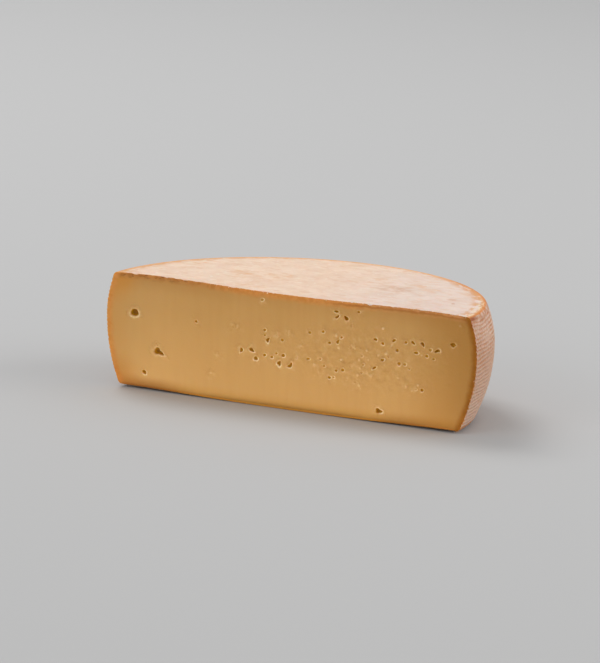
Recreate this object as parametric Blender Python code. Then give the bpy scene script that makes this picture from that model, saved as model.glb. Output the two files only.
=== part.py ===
"""Half a wheel of raclette cheese, resting on its flat underside.

The wheel was cut once, straight through its middle. The cut faces -Y, its long
side runs along X, and the rounded heel with its cloth marks faces +Y. The
origin is on the base, in the middle of the half wheel's length and depth.
"""

import math
import random

import bmesh
import bpy
from mathutils import Matrix, Vector

# Driving dimensions, in metres

WHEEL_RADIUS = 0.140
UPPER_RIM_HEIGHT = 0.0803
LOWER_RIM_HEIGHT = 0.0019

# The heel bulges: it is widest at the belly and draws in towards both rims
BELLY_SHARE = 0.625
UPPER_RIM_INSET = 0.0060
LOWER_RIM_INSET = 0.0110
UPPER_BULGE_POWER = 2.1
LOWER_BULGE_POWER = 2.0
RIM_ROUNDING = 0.0020
INSET_LEAN = 0.0005
OUT_OF_ROUND = 0.0006
OUT_OF_ROUND_WAVES = 4

# The upper face is dished in the middle and swells a little inside the rim
TOP_DISH = 0.0006
TOP_SWELL = 0.0012
TOP_TILT = 0.0002

# The underside is flat in the middle of its weight and rises gently around it
FOOT_RADIUS = 0.046
FOOT_FROM_CUT = 0.058
UNDERSIDE_RISE_SPAN = 0.092

# The cloth leaves ridges round the heel, deeper in its upper part
RIDGE_PITCH = 0.0029
RIDGE_DEPTH = 0.0006
RIDGE_WAVE = 0.0008
RIDGE_WAVES_ROUND = 7
RIDGE_WAVE_SLANT = 9.0
RIDGE_TO_RIM = 0.0030
RIDGE_FADE_SHARE = 0.10
LOWER_RIDGE_SHARE = 0.45

# How finely the surfaces are divided
ARC_STEPS = 40
FACE_RINGS = (0.97, 0.90, 0.78, 0.62, 0.42, 0.20)
ROUNDING_STEPS = (0.0, 0.5, 0.85, 1.0)
EYE_SUBDIVISIONS = 2
LARGE_EYE_SUBDIVISIONS = 3
LARGE_EYE = 0.0045
SHARP_ANGLE = math.radians(30.0)

# Eyes on the cut, in millimetres: across from the middle, up from the base, width, height
LONE_EYES = (
    (-118.0, 54.0, 5.6, 5.2),
    (-99.5, 28.5, 5.0, 4.6),
    (-96.0, 27.0, 2.8, 2.4),
    (-109.5, 12.5, 3.2, 3.0),
    (69.5, 8.5, 5.0, 3.6),
    (122.0, 61.0, 3.8, 3.8),
)
TOP_EYES = (
    (36.0, 72.0, 3.0, 1.6),
    (36.5, 69.5, 3.2, 2.2),
    (43.0, 69.0, 3.0, 3.4),
)
MIDDLE_EYES = (
    (-35.0, 37.5, 3.0, 2.6),
    (-27.0, 38.5, 3.6, 2.2),
    (-23.5, 33.0, 2.8, 2.4),
    (-6.0, 31.5, 2.6, 3.4),
    (-3.0, 37.5, 2.6, 2.2),
    (2.5, 31.5, 3.8, 3.6),
    (-15.0, 47.0, 2.4, 3.0),
    (16.0, 37.5, 2.6, 2.0),
    (33.0, 26.5, 3.8, 2.6),
    (37.0, 32.0, 2.2, 2.2),
)
RIGHT_EYES = (
    (16.5, 56.0, 2.4, 2.4),
    (26.5, 57.5, 2.4, 2.2),
    (37.5, 52.0, 3.2, 3.0),
    (40.0, 55.0, 2.4, 2.0),
    (65.5, 57.0, 2.6, 2.0),
    (71.0, 55.0, 2.6, 2.2),
    (79.0, 58.0, 2.6, 2.0),
    (93.0, 58.0, 3.0, 2.2),
    (100.0, 58.0, 2.4, 3.0),
    (81.5, 51.5, 2.4, 2.2),
    (95.5, 51.5, 3.0, 2.0),
    (103.5, 50.5, 2.2, 2.0),
    (106.0, 54.5, 2.4, 2.2),
    (111.5, 55.0, 4.0, 3.4),
    (71.0, 44.0, 3.0, 2.4),
    (65.5, 37.5, 3.8, 2.0),
    (83.5, 42.5, 2.4, 2.4),
    (87.5, 42.5, 2.2, 2.2),
)
MILLIMETRE = 0.001
EYE_SEED = 11
EYE_DEPTH_SHARE = 0.35
EYE_UNEVENNESS = 0.14

# Colours and finish
RIND_COLOUR = (0.66, 0.43, 0.29, 1.0)
PASTE_COLOUR = (0.56, 0.34, 0.12, 1.0)
RIND_ROUGHNESS = 0.80
PASTE_ROUGHNESS = 0.45

CUT_Y = -0.5 * WHEEL_RADIUS
HEEL_HEIGHT = UPPER_RIM_HEIGHT - LOWER_RIM_HEIGHT
RIND_SLOT = 0
PASTE_SLOT = 1


def remove_scene_objects():
    """Start from an empty scene."""
    for item in list(bpy.data.objects):
        bpy.data.objects.remove(item, do_unlink=True)


def principled(name, colour, roughness):
    """A plain opaque material."""
    material = bpy.data.materials.new(name)
    material.use_nodes = True
    shader = material.node_tree.nodes["Principled BSDF"]
    shader.inputs["Base Color"].default_value = colour
    shader.inputs["Roughness"].default_value = roughness
    shader.inputs["Metallic"].default_value = 0.0
    material.diffuse_color = colour
    return material


def smooth_step(value):
    """0 below 0, 1 above 1, and an even slope between."""
    value = min(max(value, 0.0), 1.0)
    return value * value * (3.0 - 2.0 * value)


def heel_inset(share, angle):
    """How far the heel draws in from its widest, at a share of its height."""
    if share > BELLY_SHARE:
        depth = UPPER_RIM_INSET + INSET_LEAN * math.cos(angle)
        return depth * ((share - BELLY_SHARE) / (1.0 - BELLY_SHARE)) ** UPPER_BULGE_POWER
    return LOWER_RIM_INSET * ((BELLY_SHARE - share) / BELLY_SHARE) ** LOWER_BULGE_POWER


def rim_inset(share):
    """The extra inset that rounds off both rims."""
    from_rim = min(share, 1.0 - share) * HEEL_HEIGHT
    if from_rim >= RIM_ROUNDING:
        return 0.0
    reach = 1.0 - from_rim / RIM_ROUNDING
    return RIM_ROUNDING * (1.0 - math.sqrt(1.0 - reach * reach))


def heel_radius(share, angle):
    """Radius of the heel at a share of its height and an angle round the wheel."""
    uneven = OUT_OF_ROUND * math.sin(OUT_OF_ROUND_WAVES * angle) * math.sin(math.pi * share)
    return WHEEL_RADIUS - heel_inset(share, angle) - rim_inset(share) + uneven


def underside_height(x, from_cut):
    """Height of the underside: nothing over the foot, then a gentle rise."""
    from_foot = math.hypot(x, from_cut - FOOT_FROM_CUT) - FOOT_RADIUS
    return LOWER_RIM_HEIGHT * smooth_step(from_foot / UNDERSIDE_RISE_SPAN)


def top_height(reach, angle):
    """Height of the upper face at a share of the way from the middle to the rim."""
    square = reach * reach
    dish = TOP_DISH * (square - 1.0)
    swell = 4.0 * TOP_SWELL * square * (1.0 - square)
    return UPPER_RIM_HEIGHT + dish + swell - TOP_TILT * reach * math.cos(angle)


def on_plan(radius, angle):
    """A point on the plan, x and its distance from the cut."""
    return radius * math.cos(angle), abs(radius * math.sin(angle))


def heel_rings():
    """Shares of the heel's height with their groove depth, rim to rim."""
    rounding = [RIM_ROUNDING * (1.0 - step) / HEEL_HEIGHT for step in ROUNDING_STEPS]
    ridge_count = round(HEEL_HEIGHT / RIDGE_PITCH)
    lower = [(share, 0.0) for share in reversed(rounding)]
    upper = [(1.0 - share, 0.0) for share in rounding]
    first = RIDGE_TO_RIM / HEEL_HEIGHT
    ridges = []
    for step in range(2 * ridge_count + 1):
        share = first + (1.0 - 2.0 * first) * step / (2 * ridge_count)
        fade = smooth_step(min(share, 1.0 - share) / RIDGE_FADE_SHARE)
        strength = LOWER_RIDGE_SHARE + (1.0 - LOWER_RIDGE_SHARE) * smooth_step(share)
        ridges.append((share, RIDGE_DEPTH * fade * strength if step % 2 else 0.0))
    return lower + ridges + upper


def heel_point(share, groove, angle):
    """A point on the heel, with the ridges running in gentle waves."""
    radius = heel_radius(share, angle) - groove
    x, from_cut = on_plan(radius, angle)
    base = underside_height(x, from_cut)
    rim = top_height(1.0, angle)
    phase = RIDGE_WAVES_ROUND * angle + RIDGE_WAVE_SLANT * share
    wave = RIDGE_WAVE * math.sin(phase) * math.sin(math.pi * share) ** 2
    return Vector((x, CUT_Y + from_cut, base + (rim - base) * share + wave))


def face_point(reach, angle, upper):
    """A point on the upper face or the underside."""
    rim_share = 1.0 if upper else 0.0
    x, from_cut = on_plan(reach * heel_radius(rim_share, angle), angle)
    height = top_height(reach, angle) if upper else underside_height(x, from_cut)
    return Vector((x, CUT_Y + from_cut, height))


def ring_of(mesh, point_at):
    """One row of points round the half circle, from +X to -X."""
    return [mesh.verts.new(point_at(math.pi * step / ARC_STEPS)) for step in range(ARC_STEPS + 1)]


def bridge(mesh, inner, outer):
    """Faces between two rows, facing out for rows that go up the heel."""
    for step in range(ARC_STEPS):
        mesh.faces.new((inner[step], inner[step + 1], outer[step + 1], outer[step]))


def fan(mesh, centre, ring, upper):
    """Triangles from the middle of the wheel to the innermost row."""
    for step in range(ARC_STEPS):
        corners = (centre, ring[step], ring[step + 1])
        mesh.faces.new(corners if upper else tuple(reversed(corners)))


def build_body():
    """The half wheel without its eyes: underside, heel, upper face and flat cut."""
    mesh = bmesh.new()
    rows = []
    for reach in reversed(FACE_RINGS):
        rows.append(ring_of(mesh, lambda angle: face_point(reach, angle, False)))
    for share, groove in heel_rings():
        rows.append(ring_of(mesh, lambda angle: heel_point(share, groove, angle)))
    for reach in FACE_RINGS:
        rows.append(ring_of(mesh, lambda angle: face_point(reach, angle, True)))
    for lower, upper in zip(rows, rows[1:]):
        bridge(mesh, list(reversed(lower)), list(reversed(upper)))
    base_middle = mesh.verts.new((0.0, CUT_Y, underside_height(0.0, 0.0)))
    top_middle = mesh.verts.new((0.0, CUT_Y, top_height(0.0, 0.0)))
    fan(mesh, base_middle, rows[0], False)
    fan(mesh, top_middle, rows[-1], True)
    outline = [base_middle] + [row[0] for row in rows] + [top_middle]
    outline += [row[-1] for row in reversed(rows)]
    cut = mesh.faces.new(outline)
    bmesh.ops.recalc_face_normals(mesh, faces=mesh.faces)
    for face in mesh.faces:
        face.material_index = RIND_SLOT
    cut.material_index = PASTE_SLOT
    return mesh


def add_eye(mesh, draw, eye):
    """One uneven, rounded hollow that opens on the cut."""
    across, up, width, height = (value * MILLIMETRE for value in eye)
    opening = math.sqrt(1.0 - EYE_DEPTH_SHARE ** 2)
    half_width = 0.5 * width / opening
    half_height = 0.5 * height / opening
    half_depth = 0.5 * (half_width + half_height)
    subdivisions = LARGE_EYE_SUBDIVISIONS if width > LARGE_EYE else EYE_SUBDIVISIONS
    made = bmesh.ops.create_icosphere(mesh, subdivisions=subdivisions, radius=1.0)
    turn = Matrix.Rotation(draw.uniform(0.0, math.tau), 3, "Y")
    centre = Vector((across, CUT_Y + EYE_DEPTH_SHARE * half_depth, up))
    for vert in made["verts"]:
        point = turn @ vert.co * (1.0 + draw.uniform(-EYE_UNEVENNESS, EYE_UNEVENNESS))
        vert.co = centre + Vector((point.x * half_width, point.y * half_depth, point.z * half_height))


def build_eyes():
    """All the hollows on the cut, in one cutter."""
    mesh = bmesh.new()
    draw = random.Random(EYE_SEED)
    for group in (LONE_EYES, TOP_EYES, MIDDLE_EYES, RIGHT_EYES):
        for eye in group:
            add_eye(mesh, draw, eye)
    for face in mesh.faces:
        face.material_index = PASTE_SLOT
    return mesh


def place(name, mesh, materials):
    """Turn a finished mesh into a named object."""
    data = bpy.data.meshes.new(name)
    mesh.to_mesh(data)
    mesh.free()
    for material in materials:
        data.materials.append(material)
    item = bpy.data.objects.new(name, data)
    bpy.context.scene.collection.objects.link(item)
    return item


def cut_out(item, cutter):
    """Take the cutter's shape out of the item and keep the cutter as a wire guide."""
    cutter.hide_render = True
    cutter.display_type = "WIRE"
    modifier = item.modifiers.new("eyes", "BOOLEAN")
    modifier.operation = "DIFFERENCE"
    modifier.solver = "EXACT"
    modifier.use_self = True
    modifier.object = cutter


def main():
    """Make the half wheel."""
    remove_scene_objects()
    materials = (
        principled("washed_rind", RIND_COLOUR, RIND_ROUGHNESS),
        principled("cut_paste", PASTE_COLOUR, PASTE_ROUGHNESS),
    )
    half_wheel = place("half_wheel", build_body(), materials)
    half_wheel.data.shade_smooth()
    half_wheel.data.set_sharp_from_angle(angle=SHARP_ANGLE)
    eyes = place("eye_cutter", build_eyes(), materials)
    cut_out(half_wheel, eyes)


main()
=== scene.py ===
"""Looks of a raclette half wheel: the cut paste with its eyes, and the washed rind.

The half wheel is one closed mesh. Geometry Nodes turn the bulging heel with its
cloth ridges, and the cut, the upper face and the underside are filled in between
its edges. Crumbs of rind and paste stick to the edges of the cut.
"""

import math
import random
from collections import namedtuple

import bpy
import numpy as np
from mathutils import Matrix, Vector, noise
from mathutils.geometry import delaunay_2d_cdt


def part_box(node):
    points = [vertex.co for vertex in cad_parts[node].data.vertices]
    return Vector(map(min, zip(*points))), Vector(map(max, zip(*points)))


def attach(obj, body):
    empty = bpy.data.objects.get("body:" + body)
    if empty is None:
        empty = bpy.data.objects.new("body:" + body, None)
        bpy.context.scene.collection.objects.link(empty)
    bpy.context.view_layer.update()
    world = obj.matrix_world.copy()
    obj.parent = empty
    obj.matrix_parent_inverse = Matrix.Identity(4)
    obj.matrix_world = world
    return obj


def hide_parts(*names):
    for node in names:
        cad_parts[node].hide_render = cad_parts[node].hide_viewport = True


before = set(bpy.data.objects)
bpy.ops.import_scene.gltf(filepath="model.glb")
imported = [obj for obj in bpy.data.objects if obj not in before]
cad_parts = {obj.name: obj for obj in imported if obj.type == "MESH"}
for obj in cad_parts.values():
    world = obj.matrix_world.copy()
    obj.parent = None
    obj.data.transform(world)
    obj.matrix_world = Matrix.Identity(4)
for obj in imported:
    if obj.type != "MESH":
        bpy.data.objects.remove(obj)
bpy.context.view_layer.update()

# Sizes in metres; the widest radius and the plane of the cut come from the frame

MILLIMETRE = 0.001
low_corner, high_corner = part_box("half_wheel")
WHEEL_RADIUS = 0.5 * (high_corner.x - low_corner.x)
CUT_Y = low_corner.y
UPPER_RIM_HEIGHT = 0.0803
LOWER_RIM_HEIGHT = 0.0019
HEEL_HEIGHT = UPPER_RIM_HEIGHT - LOWER_RIM_HEIGHT

# The heel's bulge
BELLY_SHARE = 0.625
UPPER_RIM_INSET = 0.0060
LOWER_RIM_INSET = 0.0110
UPPER_BULGE_POWER = 2.1
LOWER_BULGE_POWER = 2.0
RIM_ROUNDING = 0.0020
INSET_LEAN = 0.0005
OUT_OF_ROUND = 0.0006
OUT_OF_ROUND_WAVES = 4

# The upper face's dish and swell, and the underside's gentle rise round its foot
TOP_DISH = 0.0006
TOP_SWELL = 0.0012
TOP_TILT = 0.0002
FOOT_RADIUS = 0.046
FOOT_FROM_CUT = 0.058
UNDERSIDE_RISE_SPAN = 0.092

# Ridges that the cloth leaves round the heel
RIDGE_COUNT = 27
RIDGE_DEPTH = 0.0006
RIDGE_WAVE = 0.0008
RIDGE_WAVES_ROUND = 7
RIDGE_WAVE_SLANT = 9.0
RIDGE_TO_RIM = 0.0030
RIDGE_DRIFT = 1.5
RIDGE_DRIFT_SIZE = 0.013
RIDGE_FADE_SHARE = 0.10
LOWER_RIDGE_SHARE = 0.45
THREAD_SPACING = 0.0034
THREAD_SIZE = 0.0030
PEBBLE_SIZE = 0.0042
PEBBLE_DEPTH = 0.00022

# Where the paste is pitted, the soft pits there and the knife's waves
PITTED_X = 0.055
PITTED_Z = 0.043
PITTED_HALF_WIDTH = 0.075
PITTED_HALF_HEIGHT = 0.026
PITTING_REACH_X = 0.055
PITTING_REACH_Z = 0.019
PIT_DEPTH = 0.00100
KNIFE_WAVE_DEPTH = 0.00010
KNIFE_STREAK_DEPTH = 0.00003

# The cut's edges crumble, the upper one more
FINE_NICK_DEPTH = 0.0005
NICK_DEPTH = 0.0016
LOWER_NICK_DEPTH = 0.0003
NICK_FADE = 0.003

# Unevenness of the upper face, and how far from the rim it fades
SWELL_DEPTH = 0.00030
SWELL_SIZE = 0.011
GRAIN_DEPTH = 0.00012
GRAIN_SIZE = 0.0035
UNEVEN_FADE = 0.006

# How finely the surfaces are divided
HEEL_COLUMNS = 331
HEEL_ROWS = 137
ROUNDING_ROWS = 6
CUT_EDGE_STEP = 0.0007
CUT_SPACING = 0.0022
CUT_FINE_SPACING = 0.0011
TOP_SPACING = 0.0017
UNDERSIDE_SPACING = 0.0040
SHARP_ANGLE = math.radians(55.0)

# Rows of points along an edge: one for every so many of its points, and how far inside it,
# then how far other points keep off
CUT_EDGE_ROWS = ((1, 0.00045), (2, 0.0011), (3, 0.0021), (4, 0.0035))
TOP_EDGE_ROWS = ((1, 0.0013), (2, 0.0021))
CUT_GRID_MARGIN = 0.0048
EYE_MARGIN = 0.0005
EYE_RING_MARGIN = 0.0003
EDGE_MARGIN = 0.003
RIM_MARGIN = 0.002

# Crumbs stick to the right-hand edge of the cut below this height
CRUMBY_HEIGHT = 0.045

# Floor, lights with their place, side and power, and the faint glow in front of the cut's foot
FLOOR_RADIUS = 9.0
FLOOR_SIDES = 64
ROOM_STRENGTH = 0.52
LIGHT_AIM = (0.0, 0.0, 0.04)
LIGHTS = (
    ("key", (-2.02, 1.12, 2.98), 1.65, 56.0),
    ("fill", (-1.65, -3.3, 1.63), 2.1, 20.0),
    ("side", (2.55, 0.75, 1.33), 1.8, 29.0),
)
CARD_WIDTH = 0.27
CARD_DEPTH = 0.118
CARD_HEIGHT = 0.002
CARD_POWER = 0.10

# The camera, as it stood for the photograph
CAMERA_PLACE = (1.09166, -2.33050, 0.58273)
CAMERA_YAW = math.radians(25.589)
CAMERA_DOWN = math.radians(11.878)
CAMERA_ROLL = math.radians(1.922)
CAMERA_LENS = 205.31
CAMERA_SENSOR = 36.0


def joined(operation):
    """A method that puts a socket, with another or a number where there is one, through a Math node."""
    return lambda self, *others: self.math(operation, self, *others)


def turned(operation):
    """The reflected form of such a method, with the other one first."""
    return lambda self, other: self.math(operation, other, self)


class Sock:
    """A socket of a node tree that adds, multiplies and compares like a number."""

    def __init__(self, tree, socket=None):
        self.tree = tree
        self.socket = socket

    def node(self, kind, settings=None, inputs=None, output=0):
        """A node of this kind: its settings first, then the values or links of its sockets."""
        made = self.tree.nodes.new(kind)
        for name, value in (settings or {}).items():
            setattr(made, name, value)
        for name, value in (inputs or {}).items():
            if isinstance(value, Sock):
                self.tree.links.new(value.socket, made.inputs[name])
            else:
                made.inputs[name].default_value = value
        return Sock(self.tree, made.outputs[output] if made.outputs else None)

    def output(self, name):
        """Another output of the same node."""
        return Sock(self.tree, self.socket.node.outputs[name])

    def math(self, operation, *values):
        return self.node("ShaderNodeMath", {"operation": operation}, dict(enumerate(values)))

    __add__, __radd__ = joined("ADD"), turned("ADD")
    __sub__, __rsub__ = joined("SUBTRACT"), turned("SUBTRACT")
    __mul__, __rmul__ = joined("MULTIPLY"), turned("MULTIPLY")
    __truediv__, __rtruediv__ = joined("DIVIDE"), turned("DIVIDE")
    __pow__ = joined("POWER")
    __abs__ = joined("ABSOLUTE")
    sine = joined("SINE")
    cosine = joined("COSINE")
    lowest = joined("MINIMUM")
    highest = joined("MAXIMUM")

    def length_with(self, other):
        """The long side of a right angle's triangle with these two short ones."""
        return self.math("SQRT", self * self + other * other)

    def step(self, start, end):
        """A smooth slope from 0 at start to 1 at end, which may be the lower of the two."""
        settings = {"interpolation_type": "SMOOTHSTEP"}
        return self.node("ShaderNodeMapRange", settings, {0: self, 1: start, 2: end})

    def vector(self, x, y, z):
        return self.node("ShaderNodeCombineXYZ", None, {"X": x, "Y": y, "Z": z})

    def parts(self):
        """The three numbers of a vector."""
        split = self.node("ShaderNodeSeparateXYZ", None, {0: self})
        return split, split.output("Y"), split.output("Z")

    def scaled(self, x, y, z):
        """A vector stretched by three numbers."""
        return self.node("ShaderNodeVectorMath", {"operation": "MULTIPLY"}, {0: self, 1: (x, y, z)})

    def times(self, number):
        """A vector stretched alike all ways."""
        return self.node("ShaderNodeVectorMath", {"operation": "SCALE"}, {0: self, "Scale": number})

    def grain(self, size, detail=2.0, roughness=0.5):
        """Noise on this vector whose blobs are about this size, in metres."""
        inputs = {"Vector": self, "Scale": 1.0 / size, "Detail": detail, "Roughness": roughness}
        return self.node("ShaderNodeTexNoise", None, inputs)

    def blend(self, first, second):
        """The first colour where this mask is 0, the second where it is 1; plain ones in 0 to 255."""
        first, second = (end if isinstance(end, Sock) else srgb(*end) for end in (first, second))
        return self.node("ShaderNodeMix", {"data_type": "RGBA"}, {0: self, 6: first, 7: second}, 2)


# The form, in the same rules for every surface


def smooth_step(value):
    """0 below 0, 1 above 1, and a smooth slope between."""
    value = np.clip(value, 0.0, 1.0)
    return value * value * (3.0 - 2.0 * value)


def underside_height(x, from_cut):
    """Nothing over the foot, then a gentle rise."""
    from_foot = np.hypot(x, from_cut - FOOT_FROM_CUT) - FOOT_RADIUS
    return LOWER_RIM_HEIGHT * smooth_step(from_foot / UNDERSIDE_RISE_SPAN)


def top_height(x, from_cut):
    """Dished in the middle, with a swell inside the rim."""
    radius = np.hypot(x, from_cut)
    reach = np.minimum(radius / upper_rim_radius(x, from_cut), 1.0)
    square = reach * reach
    lean = np.where(radius > 0.0, x / np.maximum(radius, 1e-9), 0.0)
    swell = 4.0 * TOP_SWELL * square * (1.0 - square)
    return UPPER_RIM_HEIGHT + TOP_DISH * (square - 1.0) + swell - TOP_TILT * reach * lean


def upper_rim_radius(x, from_cut):
    """Where the upper face ends, on the ray from the wheel's middle through a point."""
    radius = np.maximum(np.hypot(x, from_cut), 1e-9)
    return WHEEL_RADIUS - UPPER_RIM_INSET - INSET_LEAN * x / radius - RIM_ROUNDING


def lower_rim_radius():
    """Where the underside ends."""
    return WHEEL_RADIUS - LOWER_RIM_INSET - RIM_ROUNDING


def heel_half_width(share, side):
    """Half the cut's width at a share of the heel's height, on the +X or -X side."""
    upper = np.maximum(share - BELLY_SHARE, 0.0) / (1.0 - BELLY_SHARE)
    lower = np.maximum(BELLY_SHARE - share, 0.0) / BELLY_SHARE
    inset = (UPPER_RIM_INSET + INSET_LEAN * side) * upper ** UPPER_BULGE_POWER
    return WHEEL_RADIUS - inset - LOWER_RIM_INSET * lower ** LOWER_BULGE_POWER


# Geometry Nodes


def geometry_tree(name, sizes):
    """A Geometry Nodes tree with one named input for each size, and those inputs."""
    tree = bpy.data.node_groups.new(name, "GeometryNodeTree")
    tree.interface.new_socket("Geometry", in_out="OUTPUT", socket_type="NodeSocketGeometry")
    tree.interface.new_socket("Start", in_out="INPUT", socket_type="NodeSocketGeometry")
    kinds = {int: "NodeSocketInt", float: "NodeSocketFloat", bpy.types.Material: "NodeSocketMaterial"}
    for title, value in sizes.items():
        tree.interface.new_socket(title, in_out="INPUT", socket_type=kinds[type(value)])
    group = tree.nodes.new("NodeGroupInput")
    return tree, {socket.name: Sock(tree, socket) for socket in group.outputs if socket.name}


def end_tree(tree, geometry, material):
    """Realise what the tree made, give it its material and hand it out."""
    start = Sock(tree)
    real = start.node("GeometryNodeRealizeInstances", None, {0: geometry})
    dressed = start.node("GeometryNodeSetMaterial", None, {"Geometry": real, "Material": material})
    start.node("NodeGroupOutput", None, {0: dressed})


def grow(name, tree, sizes, start=None):
    """The plain mesh that a tree makes from these sizes."""
    holder = bpy.data.objects.new(name, start or bpy.data.meshes.new(name))
    bpy.context.scene.collection.objects.link(holder)
    modifier = holder.modifiers.new(name, "NODES")
    modifier.node_group = tree
    for item in tree.interface.items_tree:
        if item.name in sizes:
            modifier[item.identifier] = sizes[item.name]
    evaluated = holder.evaluated_get(bpy.context.evaluated_depsgraph_get())
    mesh = bpy.data.meshes.new_from_object(evaluated)
    bpy.data.objects.remove(holder, do_unlink=True)
    mesh.name = name
    return mesh


def store(geometry, name, value):
    """Keep a number at each point, for the material and the joins."""
    inputs = {"Geometry": geometry, "Name": name, "Value": value}
    return geometry.node("GeometryNodeStoreNamedAttribute", {"data_type": "FLOAT"}, inputs)


def deep_patches(cloth):
    """The long patches where the cloth left its marks deepest."""
    return cloth.scaled(0.5, 1.0, 1.0).grain(0.016).step(0.30, 0.55)


def heel_sizes(material):
    """The named inputs of the heel's tree."""
    return {
        "Columns": HEEL_COLUMNS,
        "Rows": HEEL_ROWS,
        "Rounding rows": ROUNDING_ROWS,
        "Wheel radius": WHEEL_RADIUS,
        "Lower rim": LOWER_RIM_HEIGHT,
        "Upper rim": UPPER_RIM_HEIGHT,
        "Belly share": BELLY_SHARE,
        "Upper inset": UPPER_RIM_INSET,
        "Lower inset": LOWER_RIM_INSET,
        "Upper power": UPPER_BULGE_POWER,
        "Lower power": LOWER_BULGE_POWER,
        "Inset lean": INSET_LEAN,
        "Rim rounding": RIM_ROUNDING,
        "Out of round": OUT_OF_ROUND,
        "Ridge count": RIDGE_COUNT,
        "Ridge depth": RIDGE_DEPTH,
        "Ridge wave": RIDGE_WAVE,
        "Ridge drift": RIDGE_DRIFT,
        "Ridge to rim": RIDGE_TO_RIM,
        "Lower ridges": LOWER_RIDGE_SHARE,
        "Pebbling": PEBBLE_DEPTH,
        "Cloth": material,
    }


def heel_tree(sizes):
    """The heel: a strip of columns round the wheel and rows up its bulge, ridged by the cloth."""
    tree, size = geometry_tree("cloth_marked_heel", sizes)
    start = Sock(tree)
    counts = {"Size X": 1.0, "Size Y": 1.0, "Vertices X": size["Columns"], "Vertices Y": size["Rows"]}
    grid = start.node("GeometryNodeMeshGrid", None, counts)
    across, along, _ = start.node("GeometryNodeInputPosition").parts()
    angle = (across + 0.5) * math.pi
    climb = along + 0.5
    height = size["Upper rim"] - size["Lower rim"]

    # Rows crowd into the rounding of each rim
    end_share = size["Rounding rows"] / (size["Rows"] - 1.0)
    from_end = climb.lowest(1.0 - climb)
    turn = (from_end / end_share).lowest(1.0) * (0.5 * math.pi)
    straight = (from_end - end_share).highest(0.0) / (1.0 - 2.0 * end_share)
    rounding = size["Rim rounding"]
    from_rim = rounding * (1.0 - turn.cosine()) + straight * (height - 2.0 * rounding)
    share = 0.5 + (climb - 0.5).math("SIGN", climb - 0.5) * (0.5 - from_rim / height)

    # The bulge draws in towards both rims
    belly = size["Belly share"]
    upper = (share - belly).highest(0.0) / (1.0 - belly)
    lower = (belly - share).highest(0.0) / belly
    upper_depth = size["Upper inset"] + size["Inset lean"] * angle.cosine()
    inset = upper_depth * upper ** size["Upper power"]
    inset = inset + size["Lower inset"] * lower ** size["Lower power"]
    inset = inset + rounding * (1.0 - turn.sine())
    arch = (share * math.pi).sine()
    uneven = size["Out of round"] * (angle * OUT_OF_ROUND_WAVES).sine() * arch

    # The cloth's ridges, fainter towards the rims and the lower part
    first = size["Ridge to rim"] / height
    reach = angle * size["Wheel radius"]
    cloth = start.vector(reach, share * height, 0.0)
    drift = (cloth.scaled(0.6, 1.0, 1.0).grain(RIDGE_DRIFT_SIZE, 2.0) - 0.5) * size["Ridge drift"]
    ridge = (share - first) / (1.0 - 2.0 * first) * size["Ridge count"] + drift
    fade = share.lowest(1.0 - share).step(0.0, RIDGE_FADE_SHARE)
    strength = size["Lower ridges"] + (1.0 - size["Lower ridges"]) * share.step(0.0, 1.0)
    threads = cloth.scaled(0.6, 1.0, 1.0).grain(THREAD_SIZE, 1.0)
    groove = 0.5 - 0.5 * (ridge * math.tau).cosine()
    groove = groove * (0.45 + 0.55 * deep_patches(cloth)) * (0.55 + 0.9 * threads.step(0.35, 0.65))
    pebbles = (cloth.grain(PEBBLE_SIZE, 2.0) - 0.5) * size["Pebbling"] * fade
    radius = size["Wheel radius"] - inset + uneven - groove * size["Ridge depth"] * fade * strength
    radius = radius + pebbles

    # Up between the underside's rise and the upper rim, in gentle waves
    x = radius * angle.cosine()
    from_cut = abs(radius * angle.sine())
    from_foot = x.length_with(from_cut - FOOT_FROM_CUT) - FOOT_RADIUS
    base = size["Lower rim"] * (from_foot / UNDERSIDE_RISE_SPAN).step(0.0, 1.0)
    rim = size["Upper rim"] - TOP_TILT * angle.cosine()
    wave = (angle * RIDGE_WAVES_ROUND + share * RIDGE_WAVE_SLANT).sine() * arch * arch
    z = base + (rim - base) * share + wave * size["Ridge wave"]
    place = start.vector(x, from_cut + CUT_Y, z)

    strip = store(store(store(grid, "share", share), "reach", reach), "ridge", ridge)
    strip = start.node("GeometryNodeSetPosition", None, {"Geometry": strip, "Position": place})
    end_tree(tree, strip, size["Cloth"])
    return tree


def crumb_sizes(material):
    """The named inputs of the crumbs' tree."""
    return {
        "Smallest": 0.00016,
        "Largest": 0.00052,
        "Spread": 0.00050,
        "Share": 0.34,
        "Seed": 23,
        "Crumb": material,
    }


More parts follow.
